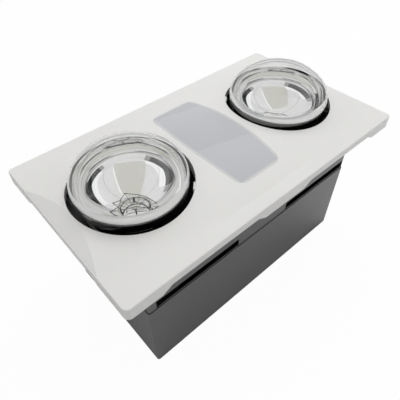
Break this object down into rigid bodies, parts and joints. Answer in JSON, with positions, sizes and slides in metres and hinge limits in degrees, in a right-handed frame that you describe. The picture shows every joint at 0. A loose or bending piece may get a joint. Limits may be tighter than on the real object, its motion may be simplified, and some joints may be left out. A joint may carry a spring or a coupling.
{
  "type": "bathroom ceiling heater",
  "caption": "Recessed bathroom ceiling unit with reflector heat lamps, a light panel and an exhaust fan in a steel box behind a white fascia.",
  "frame": {"origin": "centre of the ceiling plane, on the mounting flange's back face", "axes": "+Z out of the ceiling into the room, +X along the unit from lamp to lamp, +Y towards the duct outlet"},
  "size_m": [0.406, 0.2694, 0.2577],
  "materials": {
    "white_plastic": "satin moulded white",
    "frosted_lens": "frosted",
    "grey_steel": "satin grey",
    "zinc_steel": "zinc plated",
    "black_shield": "satin black",
    "bulb_glass": "clear",
    "bulb_silver": "silvered",
    "wire_steel": "drawn wire",
    "cap_metal": "pressed",
    "porcelain": "glazed",
    "fan_plastic": "moulded",
    "motor_metal": "satin",
    "mount_rubber": "matt",
    "duct_plastic": "moulded",
    "flap_sheet": "mill",
    "board_laminate": "solder mask",
    "chip_plastic": "phosphor",
    "case_plastic": "moulded",
    "cutout_plastic": "moulded"
  },
  "bodies": {
    "housing": {"housing_box": "grey_steel", "mounting_frame": "grey_steel", "frame_rivets": "zinc_steel", "heat_shield": "black_shield", "shield_screws": "zinc_steel", "fascia_clips": "zinc_steel", "fan_scroll": "fan_plastic", "scroll_cover": "fan_plastic", "fan_motor": "motor_metal", "motor_mounts": "mount_rubber", "motor_screws": "zinc_steel", "duct_spigot": "duct_plastic", "spigot_screws": "zinc_steel", "damper_pin": "zinc_steel", "bracket_screws": "zinc_steel", "lampholder_left": "porcelain", "lampholder_right": "porcelain", "holder_shell_left": "cap_metal", "holder_shell_right": "cap_metal", "holder_bracket_left": "zinc_steel", "holder_bracket_right": "zinc_steel", "led_tray": "flap_sheet", "led_board": "board_laminate", "led_chips": "chip_plastic", "led_driver": "case_plastic", "thermal_cutout": "cutout_plastic", "terminal_block": "case_plastic", "terminal_screws": "cap_metal", "cable_grommet": "mount_rubber", "cable_clamp": "case_plastic", "clamp_screws": "zinc_steel"},
    "fascia": {"fascia": "white_plastic", "light_lens": "frosted_lens"},
    "fan_wheel": {"impeller": "fan_plastic", "motor_shaft": "zinc_steel"},
    "lamp_left": {"lamp_glass_left": "bulb_glass", "lamp_mirror_left": "bulb_silver", "lamp_stem_left": "bulb_glass", "lamp_supports_left": "wire_steel", "lamp_filament_left": "wire_steel", "lamp_cap_left": "cap_metal"},
    "lamp_right": {"lamp_glass_right": "bulb_glass", "lamp_mirror_right": "bulb_silver", "lamp_stem_right": "bulb_glass", "lamp_supports_right": "wire_steel", "lamp_filament_right": "wire_steel", "lamp_cap_right": "cap_metal"},
    "flap_left": {"damper_flap_left": "flap_sheet"},
    "flap_right": {"damper_flap_right": "flap_sheet"}
  },
  "joints": [
    {"name": "fascia_pull", "type": "slide", "parent": "housing", "child": "fascia", "axis": [0, 0, 1], "range_m": [0, 0.06]},
    {"name": "lamp_left_unscrew", "type": "slide", "parent": "housing", "child": "lamp_left", "axis": [0, 0, 1], "range_m": [0, 0.024]},
    {"name": "lamp_right_unscrew", "type": "slide", "parent": "housing", "child": "lamp_right", "axis": [0, 0, 1], "range_m": [0, 0.024]},
    {"name": "fan_spin", "type": "hinge", "parent": "housing", "child": "fan_wheel", "pos_m": [-0.012, -0.012, -0.14], "axis": [0, 0, 1], "continuous": true},
    {"name": "flap_left_swing", "type": "hinge", "parent": "housing", "child": "flap_left", "pos_m": [0.036, 0.0984, -0.133], "axis": [0, 0, -1], "range_deg": [0, 75], "stiffness_Nm_per_rad": 0.002, "springref_deg": -5.73},
    {"name": "flap_right_swing", "type": "hinge", "parent": "housing", "child": "flap_right", "pos_m": [0.036, 0.0984, -0.133], "axis": [0, 0, 1], "range_deg": [0, 75], "stiffness_Nm_per_rad": 0.002, "springref_deg": -5.73}
  ]
}
